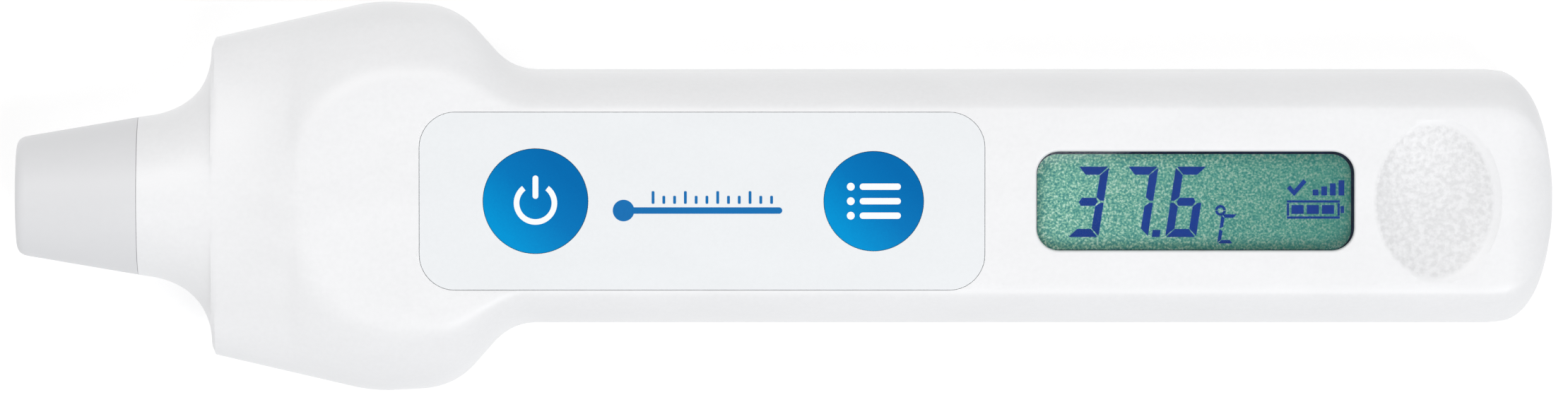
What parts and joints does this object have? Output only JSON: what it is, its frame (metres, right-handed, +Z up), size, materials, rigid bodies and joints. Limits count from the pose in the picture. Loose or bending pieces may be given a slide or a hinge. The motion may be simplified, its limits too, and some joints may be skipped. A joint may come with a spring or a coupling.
{
  "type": "digital infrared thermometer",
  "caption": "White handheld infrared thermometer wand with a capped conical probe, eared head, flush keypad, recessed display, thumb dish and slide-off battery door.",
  "frame": {"origin": "centre of the bounding box in X and Y, on the flat back that it rests on", "axes": "+X from the probe to the tail, +Z up out of the keypad and display face, +Y to the left of someone who holds the tail and points the probe away"},
  "size_m": [0.1646, 0.0416, 0.022],
  "materials": {
    "body_white": "fine satin texture",
    "cap_cool_white": "satin",
    "keypad_film": "printed polyester film, satin",
    "key_blue": "blue print, satin gloss",
    "clear_plastic": "clear, polished",
    "lcd_glass": "green-grey reflective display",
    "dark_plastic": "moulded",
    "circuit_board": "green solder mask",
    "plated_steel": "nickel plated",
    "gilt_brass": "gold plated can",
    "aluminium": "turned",
    "silicone_rubber": "matt",
    "conductive_rubber": "layered",
    "cell_wrap": "wrapped cell",
    "red_led": "tinted clear resin",
    "flex_lead": "polyimide film"
  },
  "bodies": {
    "housing": {"upper_casing": "body_white", "lower_casing": "body_white", "probe_nozzle": "cap_cool_white", "keypad_overlay": "keypad_film", "lcd_window": "clear_plastic", "ir_window": "clear_plastic", "aiming_lens_left": "clear_plastic", "aiming_lens_right": "clear_plastic", "lcd_glass": "lcd_glass", "lcd_frame": "dark_plastic", "processor_chip": "dark_plastic", "memory_chip": "dark_plastic", "buzzer": "dark_plastic", "battery_carrier": "dark_plastic", "main_board": "circuit_board", "sensor_board": "circuit_board", "on_key_dome": "plated_steel", "mem_key_dome": "plated_steel", "crystal": "plated_steel", "positive_contact": "plated_steel", "negative_spring": "plated_steel", "link_spring": "plated_steel", "link_contact": "plated_steel", "casing_screw_front_left": "plated_steel", "casing_screw_front_right": "plated_steel", "casing_screw_head_left": "plated_steel", "casing_screw_head_right": "plated_steel", "casing_screw_tail": "plated_steel", "ir_sensor": "gilt_brass", "sensor_holder": "aluminium", "capacitor_front": "aluminium", "capacitor_rear": "aluminium", "nose_seal": "silicone_rubber", "lcd_contact_strip_left": "conductive_rubber", "lcd_contact_strip_right": "conductive_rubber", "battery_cell_1": "cell_wrap", "battery_cell_2": "cell_wrap", "battery_cell_3": "cell_wrap", "battery_cell_4": "cell_wrap", "aiming_led_left": "red_led", "aiming_led_right": "red_led", "sensor_lead": "flex_lead"},
    "on_key": {"on_key": "key_blue"},
    "mem_key": {"mem_key": "key_blue"},
    "probe_cap": {"probe_cap": "cap_cool_white"},
    "battery_door": {"battery_door": "body_white"}
  },
  "joints": [
    {"name": "on_key_press", "type": "slide", "parent": "housing", "child": "on_key", "axis": [0, 0, -1], "range_m": [0, 0.0003], "stiffness_N_per_m": 1500, "deforming": ["on_key_dome"]},
    {"name": "mem_key_press", "type": "slide", "parent": "housing", "child": "mem_key", "axis": [0, 0, -1], "range_m": [0, 0.0003], "stiffness_N_per_m": 1500, "deforming": ["mem_key_dome"]},
    {"name": "probe_cap_pull", "type": "slide", "parent": "housing", "child": "probe_cap", "axis": [-1, 0, 0], "range_m": [0, 0.025]},
    {"name": "battery_door_slide", "type": "slide", "parent": "housing", "child": "battery_door", "axis": [1, 0, 0], "range_m": [0, 0.11]}
  ]
}
